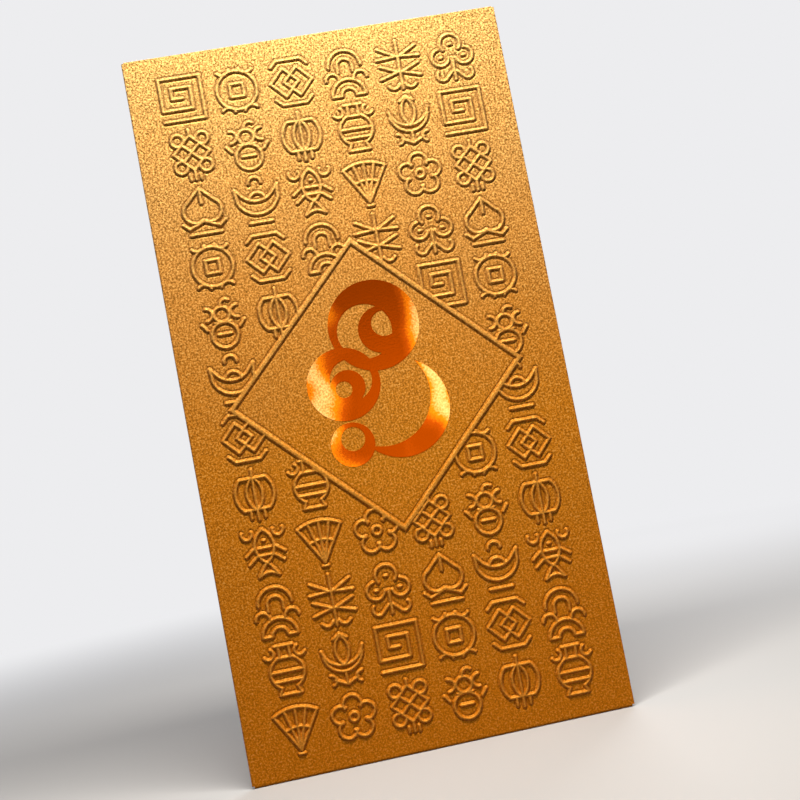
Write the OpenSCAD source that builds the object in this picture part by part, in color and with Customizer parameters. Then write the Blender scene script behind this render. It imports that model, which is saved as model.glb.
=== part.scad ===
// Long gift-money packet: one die-cut sheet of metallic card, folded and glued into a flat pocket.
// The face is blind embossed with rows of traditional ornaments round a diamond frame,
// and a cloud mark is hot-foil stamped inside the frame.
// X runs across the face, Z runs up, and the face looks towards -Y.
// The origin is the middle of the bottom fold.

/* [Packet] */
// Width across the face
packet_w = 90; // [86:1:110]
// Height from the bottom fold to the top fold
packet_h = 170; // [160:1:200]

/* [Card] */
// Thickness of the card
card_t = 0.25; // [0.2:0.01:0.32]
// Room inside the pocket between the front and the layer behind it
pocket_gap = 0.1; // [0.08:0.01:1]
// Thickness of a dried film of glue or gum
glue_t = 0.05; // [0.03:0.01:0.08]
// Room between the closed top flap's gum and the back
flap_gap = 0.1; // [0.06:0.01:0.5]
// Running clearance beside the two scores of the top fold
crease_gap = 0.02; // [0.01:0.005:0.04]

/* [Side seam] */
// Width of the seam tab, from the fold to its free edge
tab_w = 13; // [9:0.5:20]
// How much the tab's ends slope over that width
tab_slope = 5; // [2:0.5:10]
// How far the back stops short of the seam-side fold
seam_inset = 0.6; // [0.4:0.1:3]
// Width of the glue film along the seam
seam_glue_w = 7; // [4:0.5:8]
// Bare card between the seam-side fold and the glue
seam_glue_margin = 1.25; // [1:0.25:3]

/* [Bottom flap] */
// Length of the bottom flap up the back
bottom_flap_h = 17; // [12:0.5:28]
// How much narrower the bottom flap's free edge is on each side
bottom_flap_taper = 5; // [2:0.5:10]
// Radius of the bottom flap's free corners
bottom_flap_r = 3; // [1:0.5:5]
// Margin between the bottom flap's edges and its glue
bottom_glue_margin = 2.5; // [1.5:0.5:4]

/* [Top flap] */
// Length of the top flap down the back
top_flap_h = 34; // [26:0.5:45]
// How much narrower the top flap's free edge is on each side
top_flap_taper = 9; // [4:0.5:14]
// Radius of the top flap's free corners
top_flap_r = 6; // [2:0.5:9]
// How far the mouth's edge lies below the top fold
mouth_drop = 4; // [2:0.5:10]
// Width over which the mouth's ends rise to the top fold
mouth_shoulder_w = 5; // [3:0.5:8]
// Height of the gum strip
gum_w = 9; // [5:0.5:12]
// Margin between the top flap's edges and the gum strip
gum_margin = 3; // [1:0.5:5]
// How far each flap stops short of the packet's sides
flap_side_inset = 0.6; // [0.4:0.1:3]

/* [Embossed ornaments] */
// Height of the embossed ridges over the face
relief_h = 0.3; // [0.15:0.05:0.5]
// Width of the ornaments' ridges
stroke_w = 1.1; // [0.8:0.05:1.3]
// Height of one ornament
motif_h = 12; // [9:0.25:12.5]
// Number of columns of ornaments
columns = 6; // [3:1:7]
// Number of rows of ornaments
rows = 12; // [6:1:13]
// Bare card at the left and the right of the ornaments
grid_side_margin = 7.2; // [5:0.1:12]
// Bare card over the ornaments
grid_top_margin = 4.8; // [3:0.1:12]
// Bare card under the ornaments
grid_bottom_margin = 5; // [3:0.1:12]

/* [Diamond frame] */
// Side of the diamond, outside its ridge
diamond_side = 50; // [44:0.5:56]
// Width of the diamond's ridge
diamond_ridge_w = 1.6; // [1:0.1:2.5]

/* [Foil mark] */
// Height of the foil mark
mark_h = 43; // [30:0.5:45]
// How far the mark's middle lies over the diamond's middle
mark_rise = 3; // [0:0.5:5]
// Thickness of the stamped foil
foil_t = 0.05; // [0.03:0.01:0.1]
// Bare card kept between the foil and the diamond's ridge
mark_margin = 0.8; // [0.5:0.1:2]

/* [Hidden] */
$fn = 48;
corner_steps = 10;

// Depths of the layers, counted from the front panel's face towards the back
tab_front = card_t + pocket_gap;
tab_rear = tab_front + card_t;
back_front = tab_rear + glue_t;
back_rear = back_front + card_t;
bottom_flap_front = back_rear + glue_t;
bottom_flap_rear = bottom_flap_front + card_t;
gum_front = max(back_rear + flap_gap, bottom_flap_rear - card_t);
top_flap_front = gum_front + glue_t;
top_flap_rear = top_flap_front + card_t;
depth_middle = (max(top_flap_rear, bottom_flap_rear) - relief_h) / 2;

// Outer radii of the three closed folds
left_fold_r = back_rear / 2;
right_fold_r = tab_rear / 2;
bottom_fold_r = bottom_flap_rear / 2;

// Edges of the front panel, between its four folds
left_edge = left_fold_r - packet_w / 2;
right_edge = packet_w / 2 - right_fold_r;
low_edge = bottom_fold_r;
high_edge = packet_h - card_t - crease_gap;
mouth_edge = packet_h - mouth_drop;
back_free_edge = packet_w / 2 - seam_inset;
tab_free_edge = packet_w / 2 - tab_w;
flap_half_w = packet_w / 2 - flap_side_inset;

// Heights and depths of the two scores that the top flap turns on
score_z = packet_h - card_t / 2;
front_score_y = card_t / 2;
rear_score_y = top_flap_rear - card_t / 2;

// Grid of ornaments
motif_w_share = 0.88;
reach_share = 0.7;
motif_w = motif_h * motif_w_share;
column_pitch = (packet_w - 2 * grid_side_margin - motif_w) / (columns - 1);
row_pitch = (packet_h - grid_top_margin - grid_bottom_margin - motif_h) / (rows - 1);
first_column = motif_w / 2 + grid_side_margin - packet_w / 2;
first_row = packet_h - grid_top_margin - motif_h / 2;
diamond_z = packet_h / 2;

// Each ornament is four lists of strokes, in shares of motif_h from its middle, angles in degrees:
// bars [x1, z1, x2, z2], arcs [x, z, radius, from, to], then bars and arcs that also get
// their mirror image across the ornament's upright axis.
fret_shares = [
    [
        [-0.40, -0.43, 0.40, -0.43], [0.40, -0.43, 0.40, 0.43], [0.40, 0.43, -0.40, 0.43],
        [-0.40, 0.43, -0.40, -0.21], [-0.40, -0.21, 0.19, -0.21], [0.19, -0.21, 0.19, 0.22],
        [0.19, 0.22, -0.19, 0.22], [-0.19, 0.22, -0.19, 0.01], [-0.19, 0.01, 0.01, 0.01]
    ], [], [], []
];
coin_shares = [
    [[-0.13, -0.13, 0.13, -0.13], [-0.13, 0.13, 0.13, 0.13]],
    [[0, 0, 0.39, 0, 360]],
    [[0.13, -0.13, 0.13, 0.13]],
    [[0.23, 0.47, 0.14, 200, 320], [0.23, -0.47, 0.14, 40, 160]]
];
ruyi_shares = [
    [[0, -0.02, 0, -0.47], [-0.02, 0.25, 0.02, 0.25]],
    [[0, 0.26, 0.20, -35, 215]],
    [[0.04, -0.30, 0.18, -0.44], [0.21, 0.00, 0.25, 0.00]],
    [[0.24, 0.00, 0.17, -170, 80], [0.25, -0.36, 0.11, 230, 400]]
];
plum_shares = [
    [],
    [[0, 0.25, 0.17, -25, 205], [0, 0.01, 0.08, 0, 360]],
    [],
    [[0.25, 0.08, 0.16, -97, 133], [0.15, -0.21, 0.17, 191, 421]]
];
knot_shares = [
    [[0, 0.49, 0, 0.38], [0, -0.32, 0, -0.50]],
    [],
    [
        [0, 0.38, 0.35, 0.03], [0.35, 0.03, 0, -0.32], [-0.17, 0.20, 0.18, -0.14],
        [0.10, -0.40, 0.10, -0.50]
    ],
    [[0.24, 0.30, 0.12, -90, 180], [0.24, -0.24, 0.12, 180, 450]]
];
gourd_shares = [
    [[-0.15, 0.02, 0.15, 0.02], [-0.12, -0.21, 0.12, -0.21]],
    [[0, -0.23, 0.25, 0, 360], [0, 0.17, 0.15, 0, 360], [0.10, 0.36, 0.10, 50, 180]],
    [[0.32, -0.10, 0.41, 0.02]],
    [[0.30, 0.20, 0.12, 90, 270]]
];
lantern_shares = [
    [
        [-0.23, 0.32, 0.23, 0.32], [-0.23, -0.28, 0.23, -0.28], [0, 0.49, 0, 0.32],
        [0, 0.32, 0, -0.48]
    ], [],
    [[0.13, -0.28, 0.13, -0.44]],
    [[-0.06, 0.02, 0.43, -44, 44], [-0.28, 0.02, 0.43, -44, 44]]
];
ingot_shares = [
    [[-0.22, -0.42, 0.22, -0.42]],
    [[0, 0.16, 0.42, 196, 344], [0, 0.40, 0.40, 219, 321], [0, 0.02, 0.15, 0, 180]],
    [[0.40, 0.05, 0.42, 0.28], [0.31, 0.15, 0.42, 0.28]],
    [[0, 0.36, 0.12, 0, 90]]
];
lozenge_shares = [
    [[-0.24, 0.45, 0.24, 0.45], [-0.24, -0.45, 0.24, -0.45]], [],
    [
        [-0.14, 0, 0.14, 0.29], [0.14, 0.29, 0.41, 0], [0.41, 0, 0.14, -0.29],
        [0.14, -0.29, -0.14, 0], [0.24, 0.45, 0.36, 0.33], [0.24, -0.45, 0.36, -0.33]
    ], []
];
fish_shares = [
    [[-0.11, 0.10, 0.11, 0.10], [-0.13, -0.04, 0.13, -0.04], [-0.01, 0.24, 0.01, 0.24]],
    [[0, -0.62, 0.25, 52, 128]],
    [[0.02, -0.19, 0.19, -0.44], [0.19, 0.12, 0.37, -0.02], [0.16, -0.04, 0.33, -0.18]],
    [[-0.20, 0.13, 0.38, -53, 60], [0.30, 0.40, 0.10, 160, 380]]
];
lotus_shares = [
    [[0, -0.24, 0, -0.49]],
    [[0, 0.14, 0.38, 190, 350]],
    [[0, -0.49, 0.22, -0.38], [0.13, 0.38, 0, 0.47]],
    [[-0.24, 0.16, 0.37, -52, 46], [0.02, 0.26, 0.38, 265, 350], [0.30, -0.38, 0.10, 90, 250]]
];
wave_shares = [
    [],
    [
        [0, 0.14, 0.15, 0, 180], [0, 0.14, 0.32, 0, 180], [0, -0.46, 0.15, 0, 180],
        [0, -0.46, 0.33, 0, 180]
    ],
    [[0.15, 0.14, 0.15, 0.02], [0.15, -0.46, 0.33, -0.46]],
    [[0.28, -0.12, 0.13, 0, 180]]
];
fan_shares = [
    [[0, -0.40, 0, 0.41], [-0.05, -0.46, 0.05, -0.46]],
    [[0, -0.40, 0.81, 59, 121], [0, -0.40, 0.45, 59, 121]],
    [[0, -0.40, 0.41, 0.29], [0, -0.40, 0.21, 0.38]],
    []
];
peach_shares = [
    [[0, 0.44, 0, 0.14], [-0.30, -0.46, 0.30, -0.46]], [],
    [[0.28, 0.16, 0, 0.44], [0, -0.22, 0.30, -0.34], [0.30, -0.34, 0.41, -0.24]],
    [[0.14, -0.01, 0.23, -125, 52]]
];
bamboo_shares = [
    [[0, -0.49, 0, 0.49], [-0.08, 0.17, 0.08, 0.17], [-0.08, -0.15, 0.08, -0.15]], [],
    [
        [0.04, 0.17, 0.38, 0.36], [0.04, 0.17, 0.42, 0.14], [0.04, -0.15, 0.38, 0.00],
        [0.04, -0.15, 0.40, -0.26]
    ],
    [[0.17, -0.36, 0.12, 200, 330]]
];
vase_shares = [
    [
        [-0.17, 0.47, 0.17, 0.47], [-0.20, -0.45, 0.20, -0.45], [-0.31, -0.02, 0.31, -0.02],
        [-0.25, -0.20, 0.25, -0.20], [-0.11, 0.24, 0.11, 0.24]
    ], [],
    [[0.10, 0.47, 0.10, 0.24], [0.15, -0.32, 0.20, -0.45]],
    [[0.01, -0.04, 0.31, -63, 72], [0.30, 0.34, 0.10, 120, 330]]
];
ornament_shares = [
    fret_shares, lantern_shares, plum_shares, ingot_shares, bamboo_shares, coin_shares,
    vase_shares, knot_shares, fish_shares, ruyi_shares, lozenge_shares, lotus_shares,
    gourd_shares, fan_shares, peach_shares, wave_shares
];
column_step = 5;
row_step = 7;
arc_step = 36;
core_w = stroke_w / 8;
ridge_growth = (stroke_w - core_w) / 2;

// The foil mark's crescents, in shares of mark_h from its middle, angles in degrees:
// [x, z, outer radius, radius of the hole, how far the hole is shifted, towards which angle].
crescent_shares = [
    [0.04, 0.25, 0.25, 0.150, 0.060, 205], [0.08, 0.22, 0.13, 0.070, 0.035, 60],
    [-0.18, -0.04, 0.20, 0.115, 0.045, 20], [-0.16, -0.06, 0.095, 0.045, 0.025, 200],
    [0.10, -0.22, 0.27, 0.270, 0.120, 140], [-0.19, -0.37, 0.12, 0.065, 0.030, 80]
];

// The core of a straight stroke
module bar_stroke(bar) {
    start = [bar[0], bar[1]] * motif_h;
    run = [bar[2] - bar[0], bar[3] - bar[1]] * motif_h;
    translate(start) rotate(atan2(run[1], run[0]))
        translate([0, -core_w / 2]) square([norm(run), core_w]);
}

// The core of a curved stroke, in steps of about arc_step degrees
module arc_stroke(arc) {
    mid = [arc[0], arc[1]] * motif_h;
    mid_r = arc[2] * motif_h;
    steps = ceil((arc[4] - arc[3]) / arc_step);
    angles = [for (i = [0:steps]) arc[3] + (arc[4] - arc[3]) * i / steps];
    polygon(concat(
        [for (a = angles) mid + (mid_r + core_w / 2) * [cos(a), sin(a)]],
        [for (i = [steps:-1:0]) mid + (mid_r - core_w / 2) * [cos(angles[i]), sin(angles[i])]]
    ));
}

// One ornament, its middle at the origin
module ornament(strokes) {
    for (bar = concat(strokes[0], strokes[2])) bar_stroke(bar);
    for (arc = concat(strokes[1], strokes[3])) arc_stroke(arc);
    mirror([1, 0]) {
        for (bar = strokes[2]) bar_stroke(bar);
        for (arc = strokes[3]) arc_stroke(arc);
    }
}

// A square standing on its corner, in the middle of the face
module diamond(side) {
    translate([0, diamond_z]) rotate(45) square(side, center = true);
}

// True where enough of an ornament reaches past the diamond to show
function shows(x, z) =
    abs(x) + abs(z - diamond_z) + reach_share * (motif_w + motif_h) / 2 > diamond_side / sqrt(2);

// An ornament's cores grown to their ridges' full width, with sharp corners cut off
module grown_ridge() {
    offset(delta = ridge_growth, chamfer = true) children();
}

// The diamond's ridge
module diamond_ridge() {
    difference() {
        diamond(diamond_side);
        diamond(diamond_side - 2 * diamond_ridge_w);
    }
}

// The ornament of one cell, cut off where its ridges reach into the diamond's ridge
module grid_ornament(i, j) {
    x = first_column + i * column_pitch;
    z = first_row - j * row_pitch;
    if (shows(x, z)) grown_ridge() difference() {
        translate([x, z])
            ornament(ornament_shares[(i * column_step + j * row_step) % len(ornament_shares)]);
        diamond(diamond_side - diamond_ridge_w);
    }
}

// A flat outline made into card that starts at this depth behind the face
module sheet(depth, thickness) {
    translate([0, depth + thickness - depth_middle, 0])
        rotate([90, 0, 0]) linear_extrude(thickness) children();
}

// Half a tube: the card's bend round a closed fold, from the face to depth 2 * radius
module fold_bend(radius, run) {
    linear_extrude(run) intersection() {
        difference() {
            circle(radius);
            circle(radius - card_t);
        }
        translate([-radius, -radius]) square([radius, 2 * radius]);
    }
}

// A flap's outline below its fold: narrower towards its free edge, with round free corners
module flap_outline(half_w, length, taper, corner_r) {
    slant = atan(taper / length);
    corner = [half_w - taper - corner_r * tan((90 - slant) / 2), corner_r - length];
    bend = [
        for (i = [0:corner_steps])
            let (a = slant - (slant + 90) * i / corner_steps) corner + corner_r * [cos(a), sin(a)]
    ];
    polygon(concat(
        [[-half_w, 0], [half_w, 0]], bend, [for (i = [len(bend) - 1:-1:0]) [-bend[i][0], bend[i][1]]]
    ));
}

// The face, with its ridges rooted halfway into the card
module front_panel() {
    root = card_t / 2;
    color("goldenrod") {
        sheet(0, card_t) translate([left_edge, low_edge])
            square([right_edge - left_edge, high_edge - low_edge]);
        sheet(-relief_h, relief_h + root) diamond_ridge();
        for (i = [0:columns - 1], j = [0:rows - 1])
            sheet(-relief_h, relief_h + root) grid_ornament(i, j);
    }
}

module left_side_fold() {
    color("darkgoldenrod") translate([left_edge, left_fold_r - depth_middle, low_edge])
        fold_bend(left_fold_r, high_edge - low_edge);
}

module right_side_fold() {
    color("darkgoldenrod") translate([right_edge, right_fold_r - depth_middle, low_edge])
        mirror([1, 0, 0]) fold_bend(right_fold_r, high_edge - low_edge);
}

module back_panel() {
    color("peru") sheet(back_front, card_t) polygon([
        [left_edge, low_edge], [back_free_edge, low_edge], [back_free_edge, mouth_edge],
        [left_edge + mouth_shoulder_w, mouth_edge], [left_edge, high_edge]
    ]);
}

module side_seam_tab() {
    color("wheat") sheet(tab_front, card_t) polygon([
        [right_edge, low_edge], [right_edge, high_edge],
        [tab_free_edge, mouth_edge - tab_slope], [tab_free_edge, low_edge + tab_slope]
    ]);
}

module side_seam_glue() {
    glue_edge = right_edge - seam_glue_margin;
    color("khaki") sheet(tab_rear, glue_t)
        translate([glue_edge - seam_glue_w, low_edge + tab_slope])
            square([seam_glue_w, mouth_edge - low_edge - 2 * tab_slope]);
}

module bottom_fold() {
    color("darkgoldenrod") translate([-flap_half_w, bottom_fold_r - depth_middle, bottom_fold_r])
        rotate([0, 90, 0]) mirror([1, 0, 0]) fold_bend(bottom_fold_r, 2 * flap_half_w);
}

module bottom_flap() {
    color("peru") sheet(bottom_flap_front, card_t) translate([0, low_edge]) mirror([0, 1])
        flap_outline(flap_half_w, bottom_flap_h - low_edge, bottom_flap_taper, bottom_flap_r);
}

module bottom_flap_glue() {
    color("khaki") sheet(back_rear, glue_t) translate([0, low_edge + bottom_glue_margin]) mirror([0, 1])
        flap_outline(
            flap_half_w - bottom_flap_taper - bottom_glue_margin,
            bottom_flap_h - low_edge - 2 * bottom_glue_margin, 0, bottom_flap_r
        );
}

// The strip between the two scores, with the round of the card at each
module top_fold() {
    color("darkgoldenrod") translate([-flap_half_w, -depth_middle, score_z])
        rotate([90, 0, 90]) linear_extrude(2 * flap_half_w) {
            translate([front_score_y, -card_t / 2]) square([rear_score_y - front_score_y, card_t]);
            for (y = [front_score_y, rear_score_y]) translate([y, 0]) circle(d = card_t);
        }
}

module top_flap() {
    color("peru") sheet(top_flap_front, card_t) translate([0, high_edge])
        flap_outline(flap_half_w, top_flap_h + high_edge - packet_h, top_flap_taper, top_flap_r);
}

module flap_gum_strip() {
    gum_half_w = flap_half_w - top_flap_taper - gum_margin;
    color("ivory") sheet(gum_front, glue_t)
        translate([-gum_half_w, packet_h - top_flap_h + gum_margin]) square([2 * gum_half_w, gum_w]);
}

// The cloud mark: three curls and a swash, its middle at the origin
module cloud_mark() {
    for (c = crescent_shares) translate([c[0], c[1]] * mark_h) difference() {
        circle(c[2] * mark_h);
        translate(c[4] * mark_h * [cos(c[5]), sin(c[5])]) circle(c[3] * mark_h);
    }
}

module foil_emblem() {
    color("orangered") sheet(-foil_t, foil_t) intersection() {
        translate([0, diamond_z + mark_rise]) cloud_mark();
        diamond(diamond_side - 2 * (diamond_ridge_w + mark_margin));
    }
}

front_panel();
left_side_fold();
right_side_fold();
back_panel();
side_seam_tab();
side_seam_glue();
bottom_fold();
bottom_flap();
bottom_flap_glue();
top_fold();
top_flap();
flap_gum_strip();
foil_emblem();
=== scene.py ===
"""Looks of a long gift-money packet: embossed card, hot-foil mark, folds, flaps, glue and gum.

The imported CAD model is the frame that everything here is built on. Sizes are in millimetres unless
a name says otherwise, and a mesh is brought to metres when it is made. X runs across the face to
the viewer's right, -Y comes out of the face, and Z runs up from the bottom fold.
"""

import logging
import math
from collections.abc import Callable
from dataclasses import dataclass
from enum import Enum
from functools import partial

import bpy
import numpy as np
from bpy.types import Material, NodeSocket, NodeTree, Object
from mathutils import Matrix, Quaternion, Vector


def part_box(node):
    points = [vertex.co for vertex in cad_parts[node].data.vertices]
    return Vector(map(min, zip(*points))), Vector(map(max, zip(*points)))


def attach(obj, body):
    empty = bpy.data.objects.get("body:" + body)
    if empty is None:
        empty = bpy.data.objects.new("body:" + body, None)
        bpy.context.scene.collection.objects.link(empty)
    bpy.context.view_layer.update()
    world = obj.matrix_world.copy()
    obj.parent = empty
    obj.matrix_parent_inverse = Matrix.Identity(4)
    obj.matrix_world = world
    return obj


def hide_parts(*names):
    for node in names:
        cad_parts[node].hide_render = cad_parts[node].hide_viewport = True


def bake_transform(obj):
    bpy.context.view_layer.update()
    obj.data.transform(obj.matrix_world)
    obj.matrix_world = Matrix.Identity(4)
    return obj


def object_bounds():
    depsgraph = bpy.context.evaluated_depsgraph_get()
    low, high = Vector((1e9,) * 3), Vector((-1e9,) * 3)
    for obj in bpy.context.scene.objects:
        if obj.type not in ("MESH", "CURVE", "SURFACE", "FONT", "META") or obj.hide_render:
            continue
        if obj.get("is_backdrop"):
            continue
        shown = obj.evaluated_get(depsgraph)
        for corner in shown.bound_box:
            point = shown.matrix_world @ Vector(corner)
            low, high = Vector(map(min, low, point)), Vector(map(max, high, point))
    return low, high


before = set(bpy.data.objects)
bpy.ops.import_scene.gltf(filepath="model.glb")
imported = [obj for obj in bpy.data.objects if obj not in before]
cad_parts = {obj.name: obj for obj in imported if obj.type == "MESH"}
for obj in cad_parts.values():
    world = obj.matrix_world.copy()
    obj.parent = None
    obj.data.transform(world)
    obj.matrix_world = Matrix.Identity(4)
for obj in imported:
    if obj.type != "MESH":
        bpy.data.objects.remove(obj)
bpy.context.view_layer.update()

LOG = logging.getLogger("packet")
MM = 0.001
GROOVE_SHADE = "groove_shade"
CREST = "crest"
RISE = "rise"
WAVE_UNIT = 20.0  # A wave texture turns by this many radians a unit.
SHARP_ANGLE = math.radians(72)
CORNER_STEPS = 12
Adder = Callable[..., NodeSocket | None]


class Side(Enum):
    """Which way the coated side of a flat piece of card looks."""

    FRONT = "front"
    BACK = "back"


class Body(Enum):
    """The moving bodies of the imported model."""

    PACKET = "packet"
    CLOSING_FLAP = "closing_flap"


# Small helpers for colours, nodes and meshes.


def linear(hex_colour: str) -> tuple[float, float, float, float]:
    """Turns an sRGB hex colour into the linear RGBA that a shader socket takes.

    Args:
        hex_colour: The colour as "#RRGGBB".

    Returns:
        Linear red, green and blue, with an alpha of 1.
    """
    parts = np.array([int(hex_colour[i : i + 2], 16) for i in (1, 3, 5)]) / 255
    low = parts / 12.92
    high = ((parts + 0.055) / 1.055) ** 2.4
    return (*(float(v) for v in np.where(parts <= 0.04045, low, high)), 1.0)


def add_node(
    tree: NodeTree,
    kind: str,
    inputs: dict[str | int, object] | None = None,
    out: str | int = 0,
    stops: tuple[tuple[float, str], ...] = (),
    **settings: object,
) -> NodeSocket | None:
    """Adds one shader node with its settings, values and links.

    Args:
        tree: The node tree of the material or world.
        kind: The node's type name, without the ShaderNode that all of them start with.
        inputs: Socket name or number to a value, or to the output socket that feeds it.
        out: Name or number of the output that is wanted.
        stops: Places and hex colours, for a node that has a colour ramp.
        settings: The node's own properties.

    Returns:
        The wanted output, or None for the node that ends a tree.
    """
    node = tree.nodes.new(f"ShaderNode{kind}")
    for name, value in settings.items():
        setattr(node, name, value)
    for key, value in (inputs or {}).items():
        if isinstance(value, NodeSocket):
            tree.links.new(value, node.inputs[key])
        else:
            node.inputs[key].default_value = value
    if stops:
        ramp = node.color_ramp
        while len(ramp.elements) < len(stops):
            ramp.elements.new(1.0)
        for element, (place, colour) in zip(ramp.elements, stops):
            element.position = place
            element.color = linear(colour)
    return node.outputs[out] if node.outputs else None


def new_material(name: str) -> tuple[Material, Adder, NodeSocket]:
    """Makes an empty node material.

    Args:
        name: The material's name.

    Returns:
        The material, the function that adds a node to it, and the Object coordinates that its
        patterns read.
    """
    material = bpy.data.materials.new(name)
    material.use_nodes = True
    material.node_tree.nodes.clear()
    add = partial(add_node, material.node_tree)
    return material, add, add("TexCoord", out="Object")


def per_metre(size_mm: float) -> float:
    """The scale of a texture whose features are this many millimetres apart."""
    return 1 / (size_mm * MM)


def new_piece(
    name: str,
    points: np.ndarray,
    faces: list,
    materials: list[Material],
    face_material: np.ndarray | None = None,
    smooth: np.ndarray | None = None,
) -> Object:
    """Makes a mesh object whose object sits at the origin, with its place in its mesh.

    Args:
        name: The piece's name.
        points: Vertices in millimetres, one row each.
        faces: Vertex numbers of each face, turning anticlockwise seen from outside.
        materials: The piece's materials.
        face_material: The number of each face's material, or None for the first one.
        smooth: True for each face that is shaded smoothly, or None for flat faces.

    Returns:
        The new object.
    """
    mesh = bpy.data.meshes.new(name)
    mesh.from_pydata((points * MM).tolist(), [], faces)
    for material in materials:
        mesh.materials.append(material)
    if face_material is not None:
        mesh.polygons.foreach_set("material_index", face_material.astype(np.int32))
    flags = np.zeros(len(mesh.polygons), bool) if smooth is None else smooth
    mesh.polygons.foreach_set("use_smooth", flags)
    mesh.update()
    mesh.set_sharp_from_angle(angle=SHARP_ANGLE)
    piece = bpy.data.objects.new(name, mesh)
    bpy.context.scene.collection.objects.link(piece)
    return piece


def grid_quads(rows: int, columns: int) -> np.ndarray:
    """Vertex numbers of the quads of a grid, row after row.

    Args:
        rows: Number of rows of vertices.
        columns: Number of vertices in a row.

    Returns:
        An array of quads, each going along its row first and then to the next row.
    """
    corner = (np.arange(rows - 1)[:, None] * columns + np.arange(columns - 1)).ravel()
    return np.stack([corner, corner + 1, corner + columns + 1, corner + columns], axis=1)


def closing_faces(front: np.ndarray, rear: np.ndarray) -> list[list[int]]:
    """Faces that close a grid: four walls, and a flat rear side between the walls.

    The rear has quads from its left rim to its right rim, and a fan of triangles at each end.

    Args:
        front: Vertex numbers of the grid, a row for each height.
        rear: The numbers behind them, of which only the rim counts.

    Returns:
        The vertex numbers of each face.
    """
    left, right = rear[1:-1, 0], rear[1:-1, -1]
    parts = [np.stack([left[:-1], left[1:], right[1:], right[:-1]], axis=1)]
    for line, behind in (
        (front[-1], rear[-1]),
        (front[:, 0], rear[:, 0]),
        (front[0, ::-1], rear[0, ::-1]),
        (front[::-1, -1], rear[::-1, -1]),
    ):
        parts.append(np.stack([line[:-1], line[1:], behind[1:], behind[:-1]], axis=1))
    for line, near, far in ((rear[0], left[0], right[0]), (rear[-1, ::-1], right[-1], left[-1])):
        half = len(line) // 2
        tip = np.where(np.arange(len(line) - 1) < half, near, far)
        parts.append(np.stack([line[1:], line[:-1], tip], axis=1))
        parts.append(np.array([[line[half], near, far]]))
    return [face for part in parts for face in part.tolist()]


def ease(value: np.ndarray) -> np.ndarray:
    """The smooth step 3t^2 - 2t^3, with t held between 0 and 1."""
    t = np.clip(value, 0, 1)
    return t * t * (3 - 2 * t)


def inset(outline: np.ndarray, distance: float) -> np.ndarray:
    """Moves each side of an anticlockwise outline inwards and finds the new corners.

    A corner moves along (n1 + n2) / (1 + n1.n2), where n1 and n2 are the inward normals of its
    two sides, so both sides end up the same distance in.

    Args:
        outline: Corners as rows of x and z.
        distance: How far the sides move.

    Returns:
        The moved corners.
    """
    along = np.roll(outline, -1, axis=0) - outline
    along /= np.linalg.norm(along, axis=1, keepdims=True)
    after = np.stack([-along[:, 1], along[:, 0]], axis=1)
    before = np.roll(after, 1, axis=0)
    mitre = (after + before) / (1 + np.sum(after * before, axis=1, keepdims=True))
    return outline + distance * mitre


# Finishes.


def add_surface(
    add: Adder, colour: NodeSocket, height: NodeSocket, height_mm: float, gloss: dict[str, object]
) -> None:
    """Ends a material with its relief, its surface and its output.

    Args:
        add: The function that adds a node to the material.
        colour: The surface's colour.
        height: The relief, as a share of its full height.
        height_mm: The full height of the relief.
        gloss: The surface's other inputs with their values.
    """
    relief = add("Bump", {"Distance": height_mm * MM, "Height": height})
    surface = add("BsdfPrincipled", {"Base Color": colour, "Normal": relief, **gloss})
    add("OutputMaterial", {"Surface": surface})


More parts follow.
